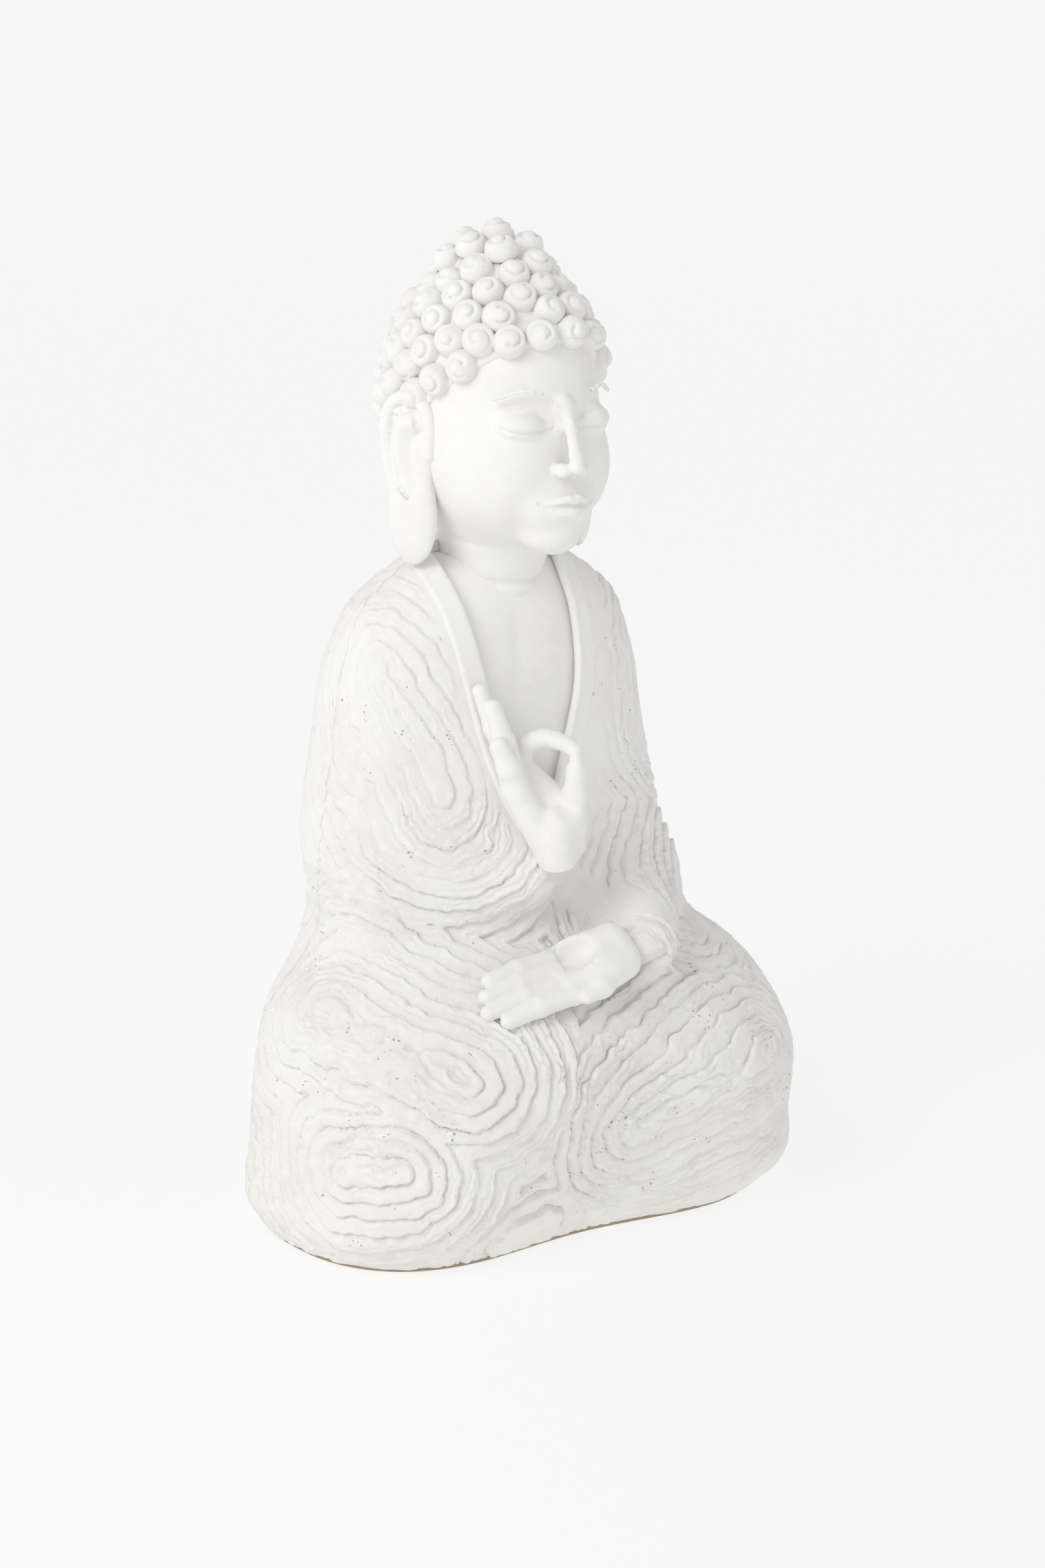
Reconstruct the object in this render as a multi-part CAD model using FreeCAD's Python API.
"""Seated Buddha statue: a hollow casting in separate pieces, with what holds them together.

Millimetres, +Z up. The statue faces -Y and its right side is -X. The origin is the middle of the box
that holds the statue, at its base.
"""
import FreeCAD
import Part
import math
import os

Vector = FreeCAD.Vector

# Driving dimensions of the casting
WALL = 7.0
PAD_THICK = 2.0
PAD_INSET = 2.0
ROBE_TOP = 338.0
SEAM_Y = 40.0
SEAM_STRIP_WIDTH = 24.0
SEAM_STRIP_THICK = 1.5
BORDER_WIDTH = 12.0
BORDER_PROUD = 1.5
LAP_JOINT = 8.0
CHEST_THICK = 7.0
SECTION_POINTS = 32
NOTCH_WIDTH = 85.0
FAR = 400.0

# Robe sections: height, half width, reach to the front, reach to the back, centre y,
# squareness of the outline, and the dip between the knees as a share of the front reach
ROBE_SECTIONS = (
    (PAD_THICK, 131, 92, 70, 17, 2.6, 0.27),
    (15, 140, 110, 74, 17, 2.6, 0.28),
    (50, 141, 126, 72, 17, 2.45, 0.25),
    (90, 140, 133, 64, 18, 2.3, 0.20),
    (122, 128, 100, 66, 22, 2.2, 0.12),
    (140, 108, 70, 72, 26, 2.2, 0.04),
    (155, 97, 56, 77, 30, 2.2, 0.0),
    (190, 97, 54, 74, 35, 2.3, 0.0),
    (235, 90, 46, 70, 37, 2.3, 0.0),
    (285, 81, 41, 61, 37, 2.3, 0.0),
    (312, 68, 36, 47, 37, 2.2, 0.0),
    (328, 46, 28, 33, 37, 2.1, 0.0),
    (ROBE_TOP, 30, 22, 26, 37, 2.0, 0.0),
)

# The robe's front opening, one edge from the neck down to the wrist: x and z
OPENING_LEFT = ((33, ROBE_TOP + 20), (34, 300), (29, 262), (20, 226), (9, 196))
OPENING_RIGHT = ((-33, ROBE_TOP + 20), (-32, 300), (-25, 262), (-14, 226), (-7, 196))

# Sleeves: where each forearm starts in the robe, and how thick it is there and at the wrist
ELBOW_RIGHT = Vector(-72, 18, 168)
ELBOW_LEFT = Vector(68, 12, 160)
CUFF_RIGHT = Vector(-17, -21, 179)
CUFF_LEFT = Vector(37, -53, 145)
SLEEVE_RADII = (27, 14)

# Head, with the hollow in it given by its two ends from the head's middle and its radius at each,
# then the crown and the hair
HEAD_CENTRE = Vector(0, 27.5, 406)
HEAD_HALF = Vector(47, 59, 65)
HOLLOW_ENDS = (Vector(0, 0, -18), Vector(0, 0, 16))
HOLLOW_RADII = (33, 36)
CROWN_CENTRE = Vector(0, 29, 453.5)
CROWN_HALF = Vector(25, 29.5, 33.5)
HAIR_PROUD = 1.2
CAP_THICK = 5.0
HAIR_MIDDLE = Vector(0, 27, 424)
HAIRLINE_FRONT = 441.0
HAIRLINE_SLOPE = 0.75
HAIRLINE_CLEAR = 9.0
CURL_RADIUS = 7.1
CURL_OFFSET = 0.6
CURL_GAP = 15.5
CURL_SEEDS = 164
SETTLE_ROUNDS = 80

# Ears: the left one's middle, and how far its back edge turns outwards
EAR_PLACE = Vector(50, 28, 372)
EAR_TURN = 24.0

# Neck and the steel rod in it
NECK_RADIUS = 23.0
NECK_Y = 33.0
NECK_FOOT = 316.0
NECK_TOP = 362.0
ROD_RADIUS = 4.0
ROD_TOP = 385.0

# Hands, and the two ends of the steel dowel from each sleeve into its hand
WRIST_RIGHT = Vector(-5, -35, 188)
WRIST_LEFT = Vector(14, -60, 145)
PIN_RADIUS = 3.0
PIN_RIGHT = (Vector(-22, -15, 175), Vector(-6, -34, 187))
PIN_LEFT = (Vector(46, -50, 146), Vector(8, -60, 144))

# Base
PLATE_THICK = 6.0
PLATE_GAP = 0.4
VENT_CENTRE = Vector(0, -6, 0)
VENT_RADIUS = 9.0
PLUG_LIP = 3.0


def robe_outline(section, inset):
    """The closed wire of the robe at one height, moved inwards by inset."""
    z, half, front, back, centre_y, square, notch = section
    points = []
    for i in range(SECTION_POINTS):
        turn = 2 * math.pi * i / SECTION_POINTS
        c, s = math.cos(turn), math.sin(turn)
        x = (half - inset) * math.copysign(abs(c) ** (2 / square), c)
        reach = (front if s < 0 else back) - inset
        y = reach * math.copysign(abs(s) ** (2 / square), s)
        if s < 0:
            y *= 1 - notch * math.exp(-(x / NOTCH_WIDTH) ** 2)
        points.append(Vector(x, centre_y + y, z))
    curve = Part.BSplineCurve()
    curve.interpolate(Points=points, PeriodicFlag=True)
    return Part.Wire(curve.toShape())


def robe_form(inset, top=ROBE_TOP, bottom=PAD_THICK):
    """The robe's outer form moved inwards by inset, between two heights."""
    wires = []
    for section in ROBE_SECTIONS:
        share = (section[0] - PAD_THICK) / (ROBE_TOP - PAD_THICK)
        z = bottom + (top - bottom) * share
        wires.append(robe_outline((z,) + section[1:], inset))
    return Part.makeLoft(wires, True, False)


def ellipsoid(centre, half):
    """A solid ellipsoid with its three half sizes along X, Y and Z."""
    grow = FreeCAD.Matrix()
    grow.scale(half)
    solid = Part.makeSphere(1.0).transformGeometry(grow)
    solid.translate(centre)
    return solid


def limb(start, end, radius_start, radius_end):
    """A tapered round bar with a ball at each end."""
    along = end - start
    cone = Part.makeCone(radius_start, radius_end, along.Length, start, along)
    return cone.fuse([Part.makeSphere(radius_start, start), Part.makeSphere(radius_end, end)])


def prism(points_xz, y_low, y_high):
    """A straight prism along Y over a closed outline in the XZ plane."""
    corners = [Vector(x, y_low, z) for x, z in points_xz]
    face = Part.Face(Part.makePolygon(corners + corners[:1]))
    return face.extrude(Vector(0, y_high - y_low, 0))


def opening_prism(margin):
    """The robe's front opening cut straight through the front, grown sideways by margin."""
    left = [(x + margin, z) for x, z in OPENING_LEFT]
    right = [(x - margin, z) for x, z in OPENING_RIGHT]
    return prism(left + right[::-1], -FAR, SEAM_Y)


def border_prism(edge, side):
    """The band of hem along one edge of the opening, cut straight through the front."""
    inner = list(edge)
    outer = [(x + side * BORDER_WIDTH, z) for x, z in edge]
    return prism(inner + outer[::-1], -FAR, SEAM_Y)


def half_space(front):
    """Everything in front of the side seam, or everything behind it."""
    corner = Vector(-FAR, -FAR, -FAR) if front else Vector(-FAR, SEAM_Y, -FAR)
    depth = FAR + SEAM_Y if front else FAR
    return Part.makeBox(2 * FAR, depth, 3 * FAR, corner)


def sleeves():
    """The two forearm sleeves that stand out of the robe's front."""
    right = limb(ELBOW_RIGHT, CUFF_RIGHT, *SLEEVE_RADII)
    left = limb(ELBOW_LEFT, CUFF_LEFT, *SLEEVE_RADII)
    return [right, left]


def neck_column():
    """The neck, from its foot inside the robe up into the head."""
    height = NECK_TOP - NECK_FOOT
    return Part.makeCone(NECK_RADIUS + 1, NECK_RADIUS, height, Vector(0, NECK_Y, NECK_FOOT))


def rod_solid():
    """The steel rod that stands on the base plate and runs up through the neck."""
    foot = PAD_THICK + PLATE_THICK
    return Part.makeCylinder(ROD_RADIUS, ROD_TOP - foot, Vector(0, NECK_Y, foot))


def wrist_pin(in_sleeve, in_hand):
    """A steel dowel, half in the sleeve and half in the hand."""
    along = in_hand - in_sleeve
    return Part.makeCylinder(PIN_RADIUS, along.Length, in_sleeve, along)


def right_hand_form():
    """The raised hand: palm, three straight fingers, and the index bent to meet the thumb."""
    pieces = [
        limb(Vector(3, -30, 190), Vector(-15, -16, 229), 9.5, 8),
        limb(Vector(-26, -29, 224), Vector(-35, -26, 246), 6.2, 5),
        limb(Vector(-24, -22, 230), Vector(-34, -18, 264), 6, 4.5),
        limb(Vector(-21, -16, 233), Vector(-35, -10, 271), 5.8, 4),
        limb(Vector(-14, -14, 230), Vector(-15, -18, 242), 5.8, 5),
        limb(Vector(-15, -18, 242), Vector(-6, -31, 248), 5, 4.5),
        limb(Vector(-6, -31, 248), Vector(-1, -41, 243), 4.5, 3.5),
        limb(Vector(0, -32, 196), Vector(-1, -40, 221), 9, 6.5),
        limb(Vector(-1, -40, 221), Vector(-2, -44, 239), 6, 3.5),
    ]
    palm = limb(WRIST_RIGHT, Vector(-22, -23, 227), 11, 9.5)
    return palm.fuse(pieces)


def left_hand_form():
    """The hand that lies palm up on the lap, tipped forwards, with the thumb along its front edge."""
    pieces = [limb(Vector(6, -68, 139), Vector(-17, -74, 131), 7.5, 4.5)]
    knuckles = [Vector(-22, -48 - 7 * finger, 142.5 - 4 * finger) for finger in range(4)]
    tips = [Vector(-57, -49, 139), Vector(-62, -54, 133), Vector(-64, -59, 127), Vector(-57, -65, 123)]
    for knuckle, tip in zip(knuckles, tips):
        pieces.append(limb(knuckle, tip, 5.6, 4.3))
    for knuckle in knuckles[::3]:
        pieces.append(limb(WRIST_LEFT, knuckle, 9.5, 6))
    palm = limb(WRIST_LEFT, Vector(-21, -58, 137), 10, 7)
    return palm.fuse(pieces)


def ear_form(side):
    """A tall flat ear with a long lobe, its back edge standing out from the head."""
    upper = ellipsoid(Vector(0, 0, 19), Vector(5, 15, 24.5))
    stem = ellipsoid(Vector(0, -1, 0), Vector(5, 11, 24))
    lobe = ellipsoid(Vector(0, -2, -20), Vector(6, 13.5, 22.5))
    ear = upper.fuse([stem, lobe])
    ear.rotate(Vector(0, 0, 0), Vector(0, 0, 1), -side * EAR_TURN)
    ear.translate(Vector(side * EAR_PLACE.x, EAR_PLACE.y, EAR_PLACE.z))
    return ear


def skull_form():
    """The skull and face as one egg with a plain nose ridge."""
    skull = ellipsoid(HEAD_CENTRE, HEAD_HALF)
    bridge = HEAD_CENTRE + Vector(0, -HEAD_HALF.y + 4, 10)
    tip = HEAD_CENTRE + Vector(0, -HEAD_HALF.y - 1, -13)
    return skull.fuse(limb(bridge, tip, 3, 5.5))


def grown(half, amount):
    """The half sizes of an ellipsoid, each changed by the same amount."""
    return half + Vector(amount, amount, amount)


def hair_form():
    """The scalp and the raised crown, a little proud of the skull."""
    scalp = ellipsoid(HEAD_CENTRE, grown(HEAD_HALF, HAIR_PROUD))
    return scalp.fuse(ellipsoid(CROWN_CENTRE, CROWN_HALF))


def hairline_z(y):
    """The hairline's height at one depth: highest over the forehead, lowest at the nape."""
    return HAIRLINE_FRONT - HAIRLINE_SLOPE * (y - HEAD_CENTRE.y + HEAD_HALF.y)


def below_hairline():
    """Everything under the hairline, as one block to cut away."""
    outline = [(-FAR, -FAR), (FAR, -FAR), (FAR, hairline_z(FAR)), (-FAR, hairline_z(-FAR))]
    corners = [Vector(-FAR, y, z) for y, z in outline]
    face = Part.Face(Part.makePolygon(corners + corners[:1]))
    return face.extrude(Vector(2 * FAR, 0, 0))


def ray_length(start, direction, centre, half):
    """How far a ray from inside an ellipsoid runs before it leaves it."""
    a = b = 0.0
    c = -1.0
    for i in range(3):
        a += (direction[i] / half[i]) ** 2
        b += direction[i] * (start[i] - centre[i]) / half[i] ** 2
        c += ((start[i] - centre[i]) / half[i]) ** 2
    return (-b + math.sqrt(max(b * b - a * c, 0.0))) / a


def on_hair(point):
    """The place on the hair's surface straight out through a point, and no lower than the hairline."""
    out = (point - HAIR_MIDDLE).normalize()
    while True:
        scalp = ray_length(HAIR_MIDDLE, out, HEAD_CENTRE, grown(HEAD_HALF, HAIR_PROUD + CURL_OFFSET))
        crown = ray_length(HAIR_MIDDLE, out, CROWN_CENTRE, grown(CROWN_HALF, CURL_OFFSET))
        place = HAIR_MIDDLE + out * max(scalp, crown)
        if place.z >= hairline_z(place.y) + HAIRLINE_CLEAR:
            return place
        out = (out + Vector(0, 0, 0.02)).normalize()


def curl_centres():
    """Every curl's centre: seeds turned round a ball by the golden angle, kept where they fall on the
    hair, then spread until each one is level with its neighbours."""
    centres = []
    for seed in range(CURL_SEEDS):
        height = 1 - 2 * (seed + 0.5) / CURL_SEEDS
        flat = math.sqrt(1 - height * height)
        turn = seed * math.pi * (3 - math.sqrt(5))
        wanted = HAIR_MIDDLE + Vector(flat * math.sin(turn), -flat * math.cos(turn), height)
        place = on_hair(wanted)
        if (place - HAIR_MIDDLE).normalize().dot(wanted - HAIR_MIDDLE) > 0.999:
            centres.append(place)
    for _ in range(SETTLE_ROUNDS):
        centres = [on_hair(place + push_on(place, centres)) for place in centres]
    gaps = [min((place - other).Length for other in centres if other is not place) for place in centres]
    print("curls", len(centres), "closest", round(min(gaps), 2))
    return centres


def push_on(place, centres):
    """How far the neighbours nearer than the curls' gap push one curl."""
    push = Vector()
    for other in centres:
        apart = place - other
        if 0 < apart.Length < CURL_GAP:
            push += apart * (0.35 * (CURL_GAP - apart.Length) / apart.Length)
    return push


def make_robe(parts, pins):
    """Front and back shells, the hems, the chest behind the opening and the strips over the seams."""
    neck = neck_column()
    outer = robe_form(0).fuse(sleeves())
    cavity = robe_form(WALL, ROBE_TOP - WALL, PAD_THICK - 1)
    shell = outer.cut([cavity, neck])
    hem_form = robe_form(-BORDER_PROUD).cut([cavity, neck])
    hems = {
        "robe_border_right": border_prism(OPENING_RIGHT, -1),
        "robe_border_left": border_prism(OPENING_LEFT, 1),
    }
    front = shell.common(half_space(True)).cut([opening_prism(0)] + list(hems.values()))
    parts["robe_front_shell"] = front.cut(pins)
    parts["robe_back_shell"] = shell.common(half_space(False))
    arms = sleeves()
    for name, band in hems.items():
        parts[name] = hem_form.common(band).cut(arms + pins)
    lining = cavity.cut([robe_form(WALL + CHEST_THICK, ROBE_TOP - WALL, PAD_THICK - 1), neck])
    chest = lining.common(opening_prism(LAP_JOINT + BORDER_WIDTH)).cut(pins)
    parts["chest_panel"] = chest
    thin = WALL + SEAM_STRIP_THICK
    skin = cavity.cut(robe_form(thin, ROBE_TOP - thin, PAD_THICK - 1))
    height = 300.0 - 20.0
    for name, x_low in (("seam_strip_right", -FAR), ("seam_strip_left", 0.0)):
        corner = Vector(x_low, SEAM_Y - SEAM_STRIP_WIDTH / 2, 20.0)
        parts[name] = skin.common(Part.makeBox(FAR, SEAM_STRIP_WIDTH, height, corner))
    return outer


def make_head(parts):
    """Head with its neck, the hair cap, the curls and the ears."""
    hair = hair_form()
    skull = skull_form()
    inner = ellipsoid(HEAD_CENTRE, grown(HEAD_HALF, HAIR_PROUD - CAP_THICK))
    cap = hair.cut([inner, below_hairline()])
    hollow = limb(HEAD_CENTRE + HOLLOW_ENDS[0], HEAD_CENTRE + HOLLOW_ENDS[1], *HOLLOW_RADII)
    head = skull.fuse(neck_column()).cut([hollow, cap, rod_solid()])
    parts["head_shell"] = head
    parts["hair_cap"] = cap
    ears = {"ear_right": ear_form(-1), "ear_left": ear_form(1)}
    for name, ear in ears.items():
        parts[name] = ear.cut([skull, hair, neck_column()])
    curls = []
    for centre in curl_centres():
        outwards = centre - HAIR_MIDDLE
        curls.append(Part.makeSphere(CURL_RADIUS, centre, outwards).cut(hair))
    parts["hair_curls"] = Part.makeCompound(curls)


def make_hands(parts, outer, pins):
    """The two hands and the steel dowels that hold them in the sleeves."""
    right_pin, left_pin = pins
    parts["right_hand"] = right_hand_form().cut([outer, right_pin])
    parts["left_hand"] = left_hand_form().cut([outer, left_pin])
    parts["right_wrist_pin"] = right_pin
    parts["left_wrist_pin"] = left_pin


def make_base(parts):
    """The closing plate with its vent, the rubber plug and the pad that the statue stands on."""
    lowest = ROBE_SECTIONS[0]
    up = Vector(0, 0, 1)
    plate = Part.Face(robe_outline(lowest, WALL + PLATE_GAP)).extrude(up * PLATE_THICK)
    vent = Part.makeCylinder(VENT_RADIUS, 50, VENT_CENTRE)
    parts["base_plate"] = plate.cut(vent)
    pad_outline = robe_outline((0.0,) + lowest[1:], PAD_INSET)
    lip = Part.makeCylinder(VENT_RADIUS + PLUG_LIP, PAD_THICK, VENT_CENTRE)
    parts["base_pad"] = Part.Face(pad_outline).extrude(up * PAD_THICK).cut(lip)
    stem = Part.makeCylinder(VENT_RADIUS, PAD_THICK + PLATE_THICK, VENT_CENTRE + up)
    thin_lip = Part.makeCylinder(VENT_RADIUS + PLUG_LIP, PAD_THICK - 1, VENT_CENTRE + up)
    parts["vent_plug"] = stem.fuse(thin_lip)
    parts["neck_rod"] = rod_solid()


def export(parts):
    """Centre the statue over the origin and write one file per piece."""
    box = FreeCAD.BoundBox()
    for shape in parts.values():
        box.add(shape.optimalBoundingBox(False, False))
    middle = Vector(-box.Center.x, -box.Center.y, -box.ZMin)
    os.makedirs("parts", exist_ok=True)
    for name, shape in parts.items():
        placed = shape.copy()
        placed.translate(middle)
        placed.exportStep("parts/" + name + ".step")
        print(name, "solids", len(placed.Solids), "valid", placed.isValid(), "cm3", round(placed.Volume / 1000, 1))
    print("box", round(box.XLength, 1), round(box.YLength, 1), round(box.ZLength, 1), "moved by", middle)


def main():
    parts = {}
    pins = [wrist_pin(*PIN_RIGHT), wrist_pin(*PIN_LEFT)]
    outer = make_robe(parts, pins)
    make_head(parts)
    make_hands(parts, outer, pins)
    make_base(parts)
    export(parts)


main()
